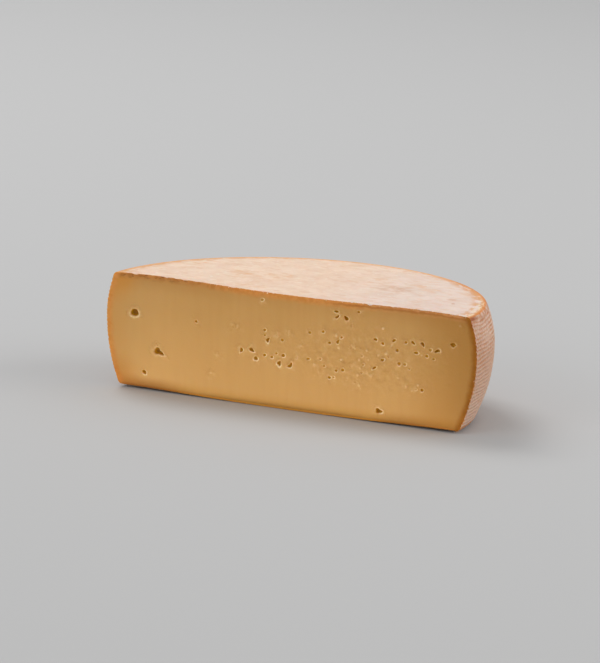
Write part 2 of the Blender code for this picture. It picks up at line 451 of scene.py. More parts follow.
def crumb_tree(sizes):
    """Craggy crumbs strewn along a line of points, in drifts."""
    tree, size = geometry_tree("crumbs_on_edge", sizes)
    start = Sock(tree)
    seed = size["Seed"]

    def chance(low, high, step, kind="FLOAT"):
        """A random number for each point, or three of them, between two ends."""
        first, output = (2, 1) if kind == "FLOAT" else (0, 0)
        inputs = {first: low, first + 1: high, "Seed": seed + step}
        return start.node("FunctionNodeRandomValue", {"data_type": kind}, inputs, output)

    place = start.node("GeometryNodeInputPosition")
    drift = place.grain(0.013, 2.0).step(0.38, 0.62)
    lot = chance(0.0, 1.0, 1)
    corner = place.parts()[0].step(0.108, 0.122)
    stays = lot.math("LESS_THAN", lot, size["Share"] * (0.15 + drift + corner))
    offset = chance((-1.0, -0.5, -1.6), (1.0, 0.3, 0.5), 2, "FLOAT_VECTOR").times(size["Spread"])
    strewn = start.node("GeometryNodeSetPosition", None, {"Geometry": size["Start"], "Offset": offset})
    ball = start.node("GeometryNodeMeshIcoSphere", None, {"Radius": 1.0, "Subdivisions": 1})
    craggy = place.times(0.5 + place.grain(0.9, 1.0))
    ball = start.node("GeometryNodeSetPosition", None, {"Geometry": ball, "Position": craggy})
    grow_by = chance(0.0, 1.0, 3) ** 2.0
    least = size["Smallest"]
    girth = least + (size["Largest"] - least) * grow_by
    stretch = chance((0.8, 0.6, 0.6), (1.5, 1.0, 1.0), 4, "FLOAT_VECTOR").times(girth)
    turn = chance((0.0, 0.0, 0.0), (math.tau, math.tau, math.tau), 5, "FLOAT_VECTOR")
    crumbs = start.node("GeometryNodeInstanceOnPoints", None, {
        "Points": strewn, "Selection": stays, "Instance": ball, "Rotation": turn, "Scale": stretch})
    end_tree(tree, crumbs, size["Crumb"])
    return tree


# The closed mesh, put together from the heel and three filled faces


class Shell:
    """Points, faces and the numbers kept at each point."""

    def __init__(self):
        self.points = np.zeros((0, 3))
        self.marks = {name: np.zeros(0) for name in MARKS}
        self.faces = []
        self.slots = []

    def add(self, points, **marks):
        """New points with their marks; a mark that isn't given is 0. Returns their numbers."""
        points = np.asarray(points, float).reshape(-1, 3)
        first = len(self.points)
        self.points = np.vstack([self.points, points])
        for name in MARKS:
            values = np.broadcast_to(marks.get(name, 0.0), len(points))
            self.marks[name] = np.concatenate([self.marks[name], values])
        return np.arange(first, first + len(points))

    def fill(self, outline, inner, rings, axes, slot, flip=False, flat=None):
        """Triangles over a face: closed outline, points inside it, and closed rings to keep."""
        used = np.concatenate([outline, inner])
        plan = self.points[used][:, axes] / MILLIMETRE
        if flat is not None:
            plan[len(outline):] = flat / MILLIMETRE
        number = {point: index for index, point in enumerate(used)}
        loops = [outline] + rings
        edges = [(number[a], number[b]) for loop in loops for a, b in zip(loop, np.roll(loop, -1))]
        corners = [Vector(point) for point in plan]
        made = delaunay_2d_cdt(corners, edges, [], 1, 1e-6)
        source = [used[old[0]] for old in made[3]]
        for triangle in made[2]:
            face = [int(source[corner]) for corner in triangle]
            self.faces.append(face[::-1] if flip else face)
            self.slots.append(slot)


MARKS = ("share", "reach", "ridge", "from_top", "from_base", "from_heel", "hollow", "lip", "torn")
RIND_SLOT = 0
PASTE_SLOT = 1


def hex_points(low, high, spacing):
    """Points of a triangular grid over a rectangle."""
    rows = np.arange(low[1], high[1], spacing * math.sqrt(0.75))
    columns = np.arange(low[0], high[0], spacing)
    offset = 0.5 * spacing * (np.arange(len(rows)) % 2)
    x = columns[None, :] + offset[:, None]
    z = np.broadcast_to(rows[:, None], x.shape)
    return np.stack([x.ravel(), z.ravel()], axis=1)


def rough(x, y, size, seed):
    """Smooth noise from -1 to 1 at one point."""
    return noise.noise(Vector((x / size, y / size, seed)))


def heel_strip(shell, mesh):
    """Add the heel's points, columns round and rows up, and its faces."""
    count = len(mesh.vertices)
    points = np.zeros(3 * count)
    mesh.vertices.foreach_get("co", points)
    marks = {}
    for name in ("share", "reach", "ridge"):
        marks[name] = np.zeros(count)
        mesh.attributes[name].data.foreach_get("value", marks[name])
    order = np.lexsort((marks["share"], marks["reach"]))
    points = points.reshape(-1, 3)[order]
    numbers = shell.add(points, **{name: values[order] for name, values in marks.items()})
    numbers = numbers.reshape(HEEL_COLUMNS, HEEL_ROWS)
    for left, right in zip(numbers, numbers[1:]):
        for corners in zip(left, right, right[1:], left[1:]):
            shell.faces.append([int(corner) for corner in corners])
            shell.slots.append(RIND_SLOT)
    return numbers


def edge_line(shell, start, end, height, ragged, **marks):
    """Points along an edge of the cut, between two points of the heel."""
    first, last = shell.points[start], shell.points[end]
    count = round(abs(last[0] - first[0]) / CUT_EDGE_STEP)
    x = np.linspace(first[0], last[0], count + 1)[1:-1]
    z = height(x, 0.0 * x)
    blend = np.minimum(np.abs(x - first[0]), np.abs(x - last[0])) / NICK_FADE
    nick = np.array([ragged(value) for value in x]) * np.minimum(blend, 1.0)
    y = CUT_Y + 0.5 * np.abs(nick)
    return shell.add(np.stack([x, y, z + nick], axis=1), **marks)


def upper_nicks(x):
    """The upper edge crumbles: shallow dips all along and deeper nicks here and there."""
    fine = abs(rough(x, 0.0, 0.0016, 3.1))
    nicks = max(rough(x, 0.0, 0.0048, 7.7) - 0.22, 0.0)
    return -FINE_NICK_DEPTH * fine - NICK_DEPTH * nicks


def lower_nicks(x):
    """The lower edge is cleaner."""
    return LOWER_NICK_DEPTH * abs(rough(x, 0.0, 0.0020, 5.3))


# Eyes of the cut: where, how large and what shape

Eye = namedtuple("Eye", "across up width height turn corners sharp bend taper waist deep lip")


def eye(across, up, width, height, turn=0, corners=2, sharp=0.0, bend=0.0, taper=0.0, waist=0.0,
        deep=1.0, lip=1.0):
    """An eye in millimetres and degrees: its middle, its size and how it departs from an oval."""
    return Eye(across * MILLIMETRE, up * MILLIMETRE, width * MILLIMETRE, height * MILLIMETRE,
               math.radians(turn), corners, sharp, bend, taper, waist, deep, lip)


EYES = (
    # Lone eyes at the left, low down and near the right end
    eye(-118.3, 53.4, 5.9, 5.2, sharp=0.02, lip=1.3),
    eye(-98.3, 28.0, 7.6, 4.4, turn=-24, taper=-0.38, waist=0.34, deep=0.9),
    eye(-109.5, 12.5, 3.6, 2.6, turn=-35, taper=0.2),
    eye(69.7, 8.3, 4.9, 3.2, turn=-12, corners=3, sharp=0.14, waist=0.12, deep=0.9),
    eye(122.2, 60.1, 3.7, 2.9, corners=4, sharp=0.08, deep=0.9, lip=0.5),
    # Under the upper rind
    eye(35.8, 72.5, 3.3, 1.6, turn=-4, deep=1.25),
    eye(36.6, 69.0, 3.4, 1.9, turn=38, waist=0.3),
    eye(43.2, 68.9, 3.7, 2.3, turn=-42, taper=0.4, deep=1.3, lip=0.6),
    # The row across the middle
    eye(-34.9, 37.3, 3.5, 2.3, turn=80, bend=0.55, taper=0.2, lip=1.8),
    eye(-26.9, 38.3, 4.2, 2.3, turn=-32, taper=-0.3, bend=0.15, lip=1.6),
    eye(-23.7, 32.8, 3.0, 2.7, turn=-20, corners=3, sharp=0.12, lip=2.2),
    eye(-5.9, 31.5, 2.8, 3.5, corners=3, sharp=0.18, turn=180, lip=2.4),
    eye(-2.9, 37.4, 2.6, 2.2, turn=20, lip=1.8),
    eye(2.6, 31.3, 4.5, 2.5, turn=48, bend=0.6, taper=-0.1, waist=0.25, deep=0.85, lip=1.8),
    eye(-14.9, 46.8, 3.6, 2.1, turn=62, bend=-0.4, taper=-0.4, deep=1.2, lip=1.2),
    eye(16.0, 37.5, 2.6, 1.5, turn=6, deep=0.7),
    eye(32.3, 26.5, 2.2, 2.0, lip=2.2),
    eye(35.4, 27.1, 1.6, 1.4, deep=0.7, lip=2.2),
    eye(37.2, 31.9, 2.0, 1.9),
    eye(42.0, 33.0, 2.2, 2.2, lip=1.2),
    # The scatter on the right
    eye(16.5, 55.7, 2.2, 1.9, lip=0.6),
    eye(26.5, 57.5, 2.2, 1.9, deep=0.8),
    eye(37.6, 51.9, 3.0, 2.1, turn=64, corners=3, sharp=0.14, waist=0.2, lip=1.2),
    eye(40.3, 55.2, 2.2, 1.6, turn=30, deep=0.8, lip=1.4),
    eye(65.5, 57.0, 2.8, 1.9, turn=-6),
    eye(71.0, 54.8, 2.3, 1.9, turn=-30, lip=1.5),
    eye(79.1, 57.9, 2.9, 1.8, turn=38, lip=1.3),
    eye(93.1, 58.0, 3.3, 1.7, turn=-34, lip=0.8),
    eye(100.3, 57.7, 3.6, 1.9, turn=-54, taper=-0.35, deep=1.3),
    eye(81.6, 51.4, 2.3, 2.1, turn=70, taper=-0.3),
    eye(95.6, 51.4, 3.2, 1.7, turn=4, lip=1.2),
    eye(103.5, 50.2, 2.3, 2.0, deep=0.9, lip=1.2),
    eye(106.0, 54.7, 2.3, 1.9, deep=0.6, lip=1.6),
    eye(110.9, 54.5, 4.1, 2.1, turn=24, taper=0.4, bend=-0.15, waist=0.25),
    eye(71.0, 43.5, 2.6, 2.0, turn=18, corners=3, sharp=0.14, lip=1.7),
    eye(65.3, 37.4, 3.5, 1.5, turn=34, lip=1.4),
    eye(83.4, 42.4, 2.3, 2.6, deep=0.6, lip=1.2),
    eye(87.6, 42.5, 2.3, 1.9, deep=0.5, lip=1.5),
    # The smallest
    eye(-70.0, 53.0, 2.2, 1.8, turn=-40, lip=1.3),
    eye(101.0, 26.6, 2.2, 2.2, deep=1.3),
    eye(52.5, 74.2, 2.1, 1.7, deep=1.1, lip=1.2),
    eye(-17.0, 36.0, 2.2, 2.0, turn=20, lip=1.8),
    eye(-11.5, 35.3, 2.1, 2.0, lip=1.8),
    eye(-4.0, 48.0, 2.2, 2.0),
    eye(-20.0, 74.0, 2.5, 1.7, turn=25, deep=0.55, lip=2.0),
    eye(-17.5, 53.4, 2.2, 1.9, turn=20, lip=1.8),
    eye(-17.3, 49.8, 1.7, 1.4, lip=1.3),
    eye(31.5, 50.4, 2.0, 1.8),
    eye(87.9, 57.6, 2.0, 1.9),
    eye(108.6, 48.8, 1.9, 1.5, deep=0.9, lip=0.5),
    eye(25.0, 38.5, 1.8, 1.6, deep=0.6, lip=1.4),
    eye(28.0, 34.0, 1.9, 1.7, deep=0.6),
    eye(56.0, 44.5, 1.7, 1.5, deep=0.5),
    eye(57.0, 38.5, 1.8, 1.6, deep=0.5, lip=1.4),
    eye(56.0, 33.0, 1.8, 1.6, deep=0.45, lip=0.8),
    eye(91.0, 40.0, 1.8, 1.5, turn=-30, deep=0.6, lip=0.7),
    eye(96.5, 26.5, 1.8, 1.4, deep=0.3),
    # Shallow dents
    eye(47.7, 49.6, 1.6, 2.4, deep=0.22, lip=0.3),
    eye(59.3, 33.5, 1.5, 1.4, deep=0.25, lip=0.4),
    eye(51.8, 25.9, 1.6, 1.4, deep=0.22, lip=0.3),
    eye(47.6, 36.2, 1.6, 2.2, deep=0.22, lip=0.2),
    eye(75.5, 46.4, 1.7, 2.0, deep=0.30, lip=0.5),
    eye(-8.1, 38.2, 1.8, 1.6, deep=0.8, lip=1.3),
    eye(7.2, 37.2, 1.4, 2.2, deep=0.25, lip=0.6),
    eye(-8.2, 51.7, 1.4, 3.0, deep=0.12, lip=0.1),
    eye(-41.4, 53.0, 1.5, 2.6, deep=0.08, lip=0.1),
    eye(47.4, 64.4, 1.5, 2.8, deep=0.20, lip=0.2),
)

# Flecks of torn paste that stand a little proud of the cut
FLECKS = (
    eye(70.6, 65.0, 1.7, 1.5, lip=1.2),
    eye(36.4, 56.3, 1.6, 2.0),
    eye(38.3, 47.9, 2.0, 1.7),
    eye(50.2, 49.4, 1.5, 2.8, lip=0.6),
    eye(59.4, 48.8, 1.7, 1.8, lip=0.7),
    eye(54.7, 48.8, 1.4, 1.6, lip=0.5),
    eye(53.9, 41.6, 1.6, 2.0, lip=0.6),
    eye(55.0, 36.0, 1.6, 1.7, lip=0.7),
    eye(53.2, 31.0, 1.8, 1.8, lip=0.6),
    eye(63.0, 31.7, 2.4, 1.9, turn=20, lip=0.5),
    eye(54.6, 24.0, 1.6, 2.6, turn=15, lip=0.5),
    eye(40.3, 39.8, 1.4, 1.4, lip=1.2),
    eye(77.4, 54.2, 1.4, 2.4, turn=-10, lip=0.8),
    eye(73.6, 48.2, 2.4, 1.5, turn=40, lip=0.8),
    eye(68.0, 46.4, 2.0, 1.4, turn=50, lip=0.7),
    eye(99.7, 50.4, 1.5, 1.3, lip=0.7),
    eye(98.0, 29.6, 1.8, 1.5, turn=30, lip=0.6),
    eye(89.3, 28.4, 1.5, 3.0, turn=-8, lip=0.7),
    eye(93.6, 25.2, 1.7, 1.4, turn=35, lip=0.6),
    eye(-38.3, 53.4, 1.6, 2.6, deep=0.5, lip=0.4),
    eye(1.0, 53.2, 1.5, 3.0, lip=0.5),
    eye(127.0, 73.6, 1.7, 1.5, lip=0.5),
    eye(60.8, 42.4, 1.6, 1.5, turn=20, lip=0.5),
    eye(20.8, 34.4, 1.9, 1.5, turn=-20, lip=0.5),
    eye(24.0, 29.4, 1.5, 2.0, lip=0.4),
    eye(45.8, 28.2, 1.6, 2.0, lip=0.4),
    eye(-52.5, 31.0, 1.7, 2.2, deep=0.4, lip=0.35),
    eye(-57.7, 18.4, 1.8, 1.5, deep=0.3, lip=0.5),
    eye(10.4, 46.0, 1.6, 1.8, lip=0.4),
    eye(83.0, 33.0, 1.7, 2.2, lip=0.4),
)

# Rings of an eye from the paste around it to its bottom: the share of its outline in the
# plan, the share that it really has, the depth in radii, the share of the lip's paleness
EYE_RINGS = (
    (1.95, 1.95, 0.00, 0.0),
    (1.62, 1.62, -0.01, 0.20),
    (1.38, 1.38, -0.07, 0.85),
    (1.17, 1.17, -0.05, 1.0),
    (1.00, 1.01, 0.18, 0.75),
    (0.86, 0.93, 0.48, 0.25),
    (0.70, 0.85, 0.76, 0.0),
    (0.50, 0.66, 0.96, 0.0),
    (0.25, 0.35, 1.04, 0.0),
)
FLECK_RINGS = (
    (1.50, 1.50, 0.00, 0.0),
    (1.15, 1.15, -0.02, 0.35),
    (0.80, 0.80, -0.16, 0.9),
    (0.40, 0.40, -0.26, 1.0),
)
EYE_BOTTOM = 1.06
FLECK_TOP = -0.28
OUTER_RINGS = {True: 2, False: 1}
EYE_POINT_STEP = 0.00042
EYE_SEED = 11
WALL_UNEVENNESS = 0.06
# Painted highlight: the side of an eye's lip that faces the light is paler
LIT_LIP_SIDE = Vector((0.75, -0.66))
LIP_LEAST = 0.10
LIP_STRAY = 0.35
FLECK_PALENESS = 0.6
# Painted shade in an eye is less on its wall towards the light by this share
LIT_WALL = 0.55
LIP_SPREAD = (0.8, 1.25)
WOBBLE = ((3.0, 0.05), (5.0, 0.03))
TAPER_REACH = 1.6
BEND_REACH = 2.0
BEND_MIDDLE = 0.35
WAIST_PLACE = 0.2
WAIST_WIDTH = 0.32
LARGE_EYE = 0.0019
SMALL_EYE_DEPTH = 0.40
TORN_REACH = 0.0042


def eye_point(one, scale, wobble, angle):
    """A point of an eye's outline at a scale, from its middle."""
    radius = scale * (1.0 + one.sharp * math.cos(one.corners * angle) + wobble)
    u = radius * math.cos(angle)
    v = radius * math.sin(angle)
    v *= 1.0 + one.taper * max(min(u, TAPER_REACH), -TAPER_REACH)
    v *= 1.0 - one.waist * math.exp(-((u - WAIST_PLACE) / WAIST_WIDTH) ** 2)
    v += one.bend * (min(u * u, BEND_REACH) - BEND_MIDDLE)
    spot = Vector((0.5 * one.width * u, 0.5 * one.height * v))
    spot.rotate(Matrix.Rotation(one.turn, 2))
    return spot


def eye_rings(one, hollow, draw):
    """Plan, place and lip of the points of an eye or a fleck, ring by ring, its middle last."""
    radius = 0.25 * (one.width + one.height)
    count = max(12, round(math.tau * radius / EYE_POINT_STEP))
    phases = [draw.uniform(0.0, math.tau) for _ in WOBBLE]
    middle = Vector((one.across, one.up))
    largeness = min(radius / LARGE_EYE, 1.0)
    body = min(one.deep, 1.0) * largeness
    sink = one.deep * (SMALL_EYE_DEPTH + (1.0 - SMALL_EYE_DEPTH) * largeness)
    rise = 1.0 if hollow else one.deep
    lip_share = one.lip * draw.uniform(*LIP_SPREAD) * (1.0 if hollow else FLECK_PALENESS)
    lit_side = LIT_LIP_SIDE.copy()
    lit_side.rotate(Matrix.Rotation(draw.gauss(0.0, LIP_STRAY), 2))
    rings = []
    for plan_scale, real_scale, depth, lip in (EYE_RINGS if hollow else FLECK_RINGS):
        ring = []
        for step in range(count):
            angle = math.tau * step / count
            wobble = sum(reach * math.sin(waves * angle + phase)
                         for (waves, reach), phase in zip(WOBBLE, phases))
            plan = middle + eye_point(one, plan_scale, wobble, angle)
            jitter = draw.uniform(-WALL_UNEVENNESS, WALL_UNEVENNESS) * max(depth, 0.0)
            spot = middle + eye_point(one, real_scale, wobble + jitter, angle)
            inward = radius * (depth + 0.5 * jitter) * (sink if depth > 0.0 else rise)
            lit = smooth_step(0.5 + 0.75 * (spot - middle).normalized().dot(lit_side))
            # Pale torn lip, paler on the side towards the light as a painted highlight
            pale = lip * lip_share * (LIP_LEAST + (1.0 - LIP_LEAST) * lit if hollow else 1.0)
            # Painted shade deepening down the hollow, less on its wall towards the light
            dark = body * max(depth, 0.0) / EYE_BOTTOM * (1.0 - LIT_WALL * lit * plan_scale)
            ring.append((plan, (spot.x, CUT_Y + inward, spot.y), dark, pale))
        rings.append(ring)
    bottom = sink * EYE_BOTTOM if hollow else rise * FLECK_TOP
    dark, pale = (body, 0.0) if hollow else (0.0, lip_share)
    rings.append([(middle, (middle.x, CUT_Y + radius * bottom, middle.y), dark, pale)])
    return rings


def near_an_eye(points, margin, skip=None):
    """Which plan points lie too close to an eye, apart from one that may be skipped."""
    close = np.zeros(len(points), bool)
    for number, one in enumerate(EYES + FLECKS):
        if number == skip:
            continue
        is_eye = number < len(EYES)
        keep_off = (EYE_RINGS if is_eye else FLECK_RINGS)[OUTER_RINGS[is_eye]][0]
        way = points - np.array([one.across, one.up])
        turned_x = way[:, 0] * math.cos(one.turn) + way[:, 1] * math.sin(one.turn)
        turned_z = way[:, 1] * math.cos(one.turn) - way[:, 0] * math.sin(one.turn)
        reach_x = 0.5 * one.width * keep_off * 1.08 + margin
        reach_z = 0.5 * one.height * keep_off * (1.1 + abs(one.bend)) + margin
        close |= np.hypot(turned_x / reach_x, turned_z / reach_z) < 1.0
    return close


def distances(points):
    """How far plan points on the cut lie from the upper rind, the lower one and the heel."""
    x, z = points[:, 0], points[:, 1]
    base = underside_height(x, 0.0 * x)
    top = top_height(x, 0.0 * x)
    share = np.clip((z - base) / np.maximum(top - base, 1e-6), 0.0, 1.0)
    return top - z, z - base, heel_half_width(share, np.sign(x)) - np.abs(x)


def torn(points):
    """How near plan points are to an eye, where the paste is torn: 1 at an eye, 0 away from all."""
    middles = np.array([(one.across, one.up) for one in EYES + FLECKS])
    gaps = np.linalg.norm(points[:, None] - middles[None, :], axis=2) / TORN_REACH
    return np.exp(-gaps.min(axis=1) ** 2)


def pitting(x, z):
    """How much the paste is pitted: most at the middle and right of the cut's height."""
    across = math.exp(-((x - PITTED_X) / PITTING_REACH_X) ** 2)
    up = math.exp(-((z - PITTED_Z) / PITTING_REACH_Z) ** 2)
    return across * up


def cut_relief(x, z):
    """The cut surface's own relief: broad waves of the knife and soft pits."""
    broad = KNIFE_WAVE_DEPTH * rough(x, z, 0.030, 1.5)
    streaks = KNIFE_STREAK_DEPTH * rough(x * 8.0, z, 0.028, 2.5)
    pits = rough(x, z, 0.0042, 4.5) + 0.5 * rough(x, z, 0.0021, 8.5)
    return broad + streaks + PIT_DEPTH * pitting(x, z) * max(pits - 0.05, 0.0)


def fill_cut(shell, columns, upper_edge, lower_edge):
    """The cut: edge rows that follow its outline, a grid inside, and the eyes."""
    right, left = columns[0], columns[-1]
    outline = np.concatenate([lower_edge[::-1], right, upper_edge, left[::-1]])
    plan = shell.points[outline][:, (0, 2)]
    middle = np.array([0.0, 0.5 * UPPER_RIM_HEIGHT])
    ahead = np.roll(plan, -1, axis=0) - np.roll(plan, 1, axis=0)
    inward = np.stack([-ahead[:, 1], ahead[:, 0]], axis=1)
    inward /= np.linalg.norm(inward, axis=1)[:, None]
    inward *= np.sign(np.sum(inward * (middle - plan), axis=1))[:, None]
    groups = []
    for step, depth in CUT_EDGE_ROWS:
        row = (plan + inward * depth)[::step]
        gap = np.linalg.norm(row[:, None] - plan[None, :], axis=2).min(axis=1)
        groups.append(row[gap > 0.9 * depth])
    box_low = (-WHEEL_RADIUS, 0.0)
    box_high = (WHEEL_RADIUS, UPPER_RIM_HEIGHT + 2.0 * TOP_SWELL)
    for spacing, fine in ((CUT_SPACING, False), (CUT_FINE_SPACING, True)):
        grid = hex_points(box_low, box_high, spacing)
        inside = np.min(distances(grid), axis=0) > CUT_GRID_MARGIN
        across = (grid[:, 0] - PITTED_X) / PITTED_HALF_WIDTH
        up = (grid[:, 1] - PITTED_Z) / PITTED_HALF_HEIGHT
        pitted = np.hypot(across, up) < 1.0
        groups.append(grid[inside & (pitted == fine)])
    loose = np.vstack(groups)
    loose = loose[~near_an_eye(loose, EYE_MARGIN)]
    points = [(x, CUT_Y + cut_relief(x, z), z) for x, z in loose]
    top, base, heel = distances(loose)
    inner = [shell.add(points, from_top=top, from_base=base, from_heel=heel, torn=torn(loose))]
    flat = [loose]
    rings = []
    draw = random.Random(EYE_SEED)
    for number, one in enumerate(EYES + FLECKS):
        is_eye = number < len(EYES)
        made = eye_rings(one, is_eye, draw)
        for index, ring in enumerate(made):
            ring_plan, places, hollow, lip = (np.array(column) for column in zip(*ring))
            kept = np.ones(len(ring), bool)
            if index < OUTER_RINGS[is_eye]:
                top, base, heel = distances(ring_plan)
                kept = ~near_an_eye(ring_plan, EYE_RING_MARGIN, number)
                kept &= np.minimum(top, base) > EDGE_MARGIN
            places = places[kept]
            places[:, 1] += [cut_relief(x, z) for x, _, z in places]
            top, base, heel = distances(ring_plan[kept])
            numbers = shell.add(places, from_top=top, from_base=base, from_heel=heel,
                                hollow=hollow[kept], lip=lip[kept], torn=1.0)
            inner.append(numbers)
            flat.append(ring_plan[kept])
            if OUTER_RINGS[is_eye] <= index < len(made) - 1:
                rings.append(numbers)
    shell.fill(outline, np.concatenate(inner), rings, (0, 2), PASTE_SLOT, flat=np.vstack(flat))


def fill_upper_face(shell, columns, upper_edge):
    """The upper face, dished in the middle and a little uneven."""
    rim = columns[:, -1]
    outline = np.concatenate([rim, upper_edge[::-1]])
    grid = hex_points((-WHEEL_RADIUS, 0.0), (WHEEL_RADIUS, WHEEL_RADIUS), TOP_SPACING)
    limit = upper_rim_radius(*grid.T) - 0.8 * TOP_SPACING
    grid = grid[(np.hypot(*grid.T) < limit) & (grid[:, 1] > 1.6 * TOP_SPACING)]
    edge = shell.points[upper_edge]
    rows = [np.stack([edge[:, 0][::step], 0.0 * edge[:, 0][::step] + depth], axis=1)
            for step, depth in TOP_EDGE_ROWS]
    rows = [row[np.hypot(*row.T) < upper_rim_radius(*row.T) - RIM_MARGIN] for row in rows]
    grid = np.vstack([grid] + rows)
    fade = np.minimum((upper_rim_radius(*grid.T) - np.hypot(*grid.T)) / UNEVEN_FADE, 1.0)
    uneven = [SWELL_DEPTH * rough(x, y, SWELL_SIZE, 9.0) + GRAIN_DEPTH * rough(x, y, GRAIN_SIZE, 6.0)
              for x, y in grid]
    points = np.stack([grid[:, 0], CUT_Y + grid[:, 1], top_height(*grid.T) + fade * uneven], axis=1)
    inner = shell.add(points, share=1.0)
    shell.fill(outline, inner, [], (0, 1), RIND_SLOT)


def fill_underside(shell, columns, lower_edge):
    """The underside, flat over its foot."""
    rim = columns[:, 0]
    outline = np.concatenate([rim, lower_edge[::-1]])
    grid = hex_points((-WHEEL_RADIUS, 0.0), (WHEEL_RADIUS, WHEEL_RADIUS), UNDERSIDE_SPACING)
    inside = np.hypot(*grid.T) < lower_rim_radius() - 0.7 * UNDERSIDE_SPACING
    grid = grid[inside & (grid[:, 1] > 0.7 * UNDERSIDE_SPACING)]
    inner = shell.add(np.stack([grid[:, 0], CUT_Y + grid[:, 1], underside_height(*grid.T)], axis=1))
    shell.fill(outline, inner, [], (0, 1), RIND_SLOT, flip=True)


def build_cheese(rind, paste):
    """The whole half wheel as one closed mesh, and the points that crumbs may stick to."""
    sizes = heel_sizes(rind)
    shell = Shell()
    columns = heel_strip(shell, grow("heel", heel_tree(sizes), sizes))
    right, left = columns[0], columns[-1]
    upper_edge = edge_line(shell, right[-1], left[-1], top_height, upper_nicks, share=1.0)
    lower_edge = edge_line(shell, right[0], left[0], underside_height, lower_nicks)
    fill_cut(shell, columns, upper_edge, lower_edge)
    fill_upper_face(shell, columns, upper_edge)
    fill_underside(shell, columns, lower_edge)
    used = np.zeros(len(shell.points), bool)
    for face in shell.faces:
        used[face] = True
    number = np.cumsum(used) - 1
    mesh = bpy.data.meshes.new("cheese")
    mesh.from_pydata(shell.points[used].tolist(), [], [number[face].tolist() for face in shell.faces])
    mesh.materials.append(rind)
    mesh.materials.append(paste)
    mesh.polygons.foreach_set("material_index", np.array(shell.slots, np.int32))
    for name, values in shell.marks.items():
        mark = mesh.attributes.new(name, "FLOAT", "POINT")
        mark.data.foreach_set("value", values[used].astype(np.float32))
    mesh.shade_smooth()
    mesh.set_sharp_from_angle(angle=SHARP_ANGLE)
    mesh.validate()
    lower_right = right[shell.points[right][:, 2] < CRUMBY_HEIGHT]
    edge = shell.points[np.concatenate([upper_edge, lower_right, lower_right, left[::3]])]
    return add_piece("cheese", mesh), edge


def build_crumbs(edge):
    """Crumbs that stick to the edges of the cut."""
    sizes = crumb_sizes(crumb_material())
    points = bpy.data.meshes.new("edge_points")
    points.from_pydata(edge.tolist(), [], [])
    return add_piece("crumbs", grow("crumbs", crumb_tree(sizes), sizes, points))


def add_piece(name, mesh):
    """A mesh as an object of the scene."""
    item = bpy.data.objects.new(name, mesh)
    bpy.context.scene.collection.objects.link(item)
    return item


# Materials


def new_material(name, settings):
    """A Principled material, its shader and the tree's first socket wrapper."""
    material = bpy.data.materials.new(name)
    material.use_nodes = True
    tree = material.node_tree
    shader = tree.nodes["Principled BSDF"]
    for socket, value in settings.items():
        shader.inputs[socket].default_value = value
    return material, shader, Sock(tree)


def finish_material(shader, colour, roughness, height, depth):
    """Link the colour, the roughness and a bump of this depth to the shader."""
    bump = colour.node("ShaderNodeBump", None, {"Height": height, "Distance": depth, "Strength": 1.0})
    tree = colour.tree
    tree.links.new(colour.socket, shader.inputs["Base Color"])
    tree.links.new(roughness.socket, shader.inputs["Roughness"])
    tree.links.new(bump.socket, shader.inputs["Normal"])


def mark(start, name):
    """A number kept at the mesh's points."""
    return start.node("ShaderNodeAttribute", {"attribute_name": name}, None, "Fac")


def srgb(red, green, blue):
    """A colour in the 0 to 255 of a picture, as the shader's linear numbers."""
    linear = [(value / 255.0) ** 2.2 for value in (red, green, blue)]
    return (*linear, 1.0)


def painted(tone, *coats):
    """A colour under more coats, each a mask and its colour."""
    for mask, colour in coats:
        tone = mask.blend(tone, colour)
    return tone


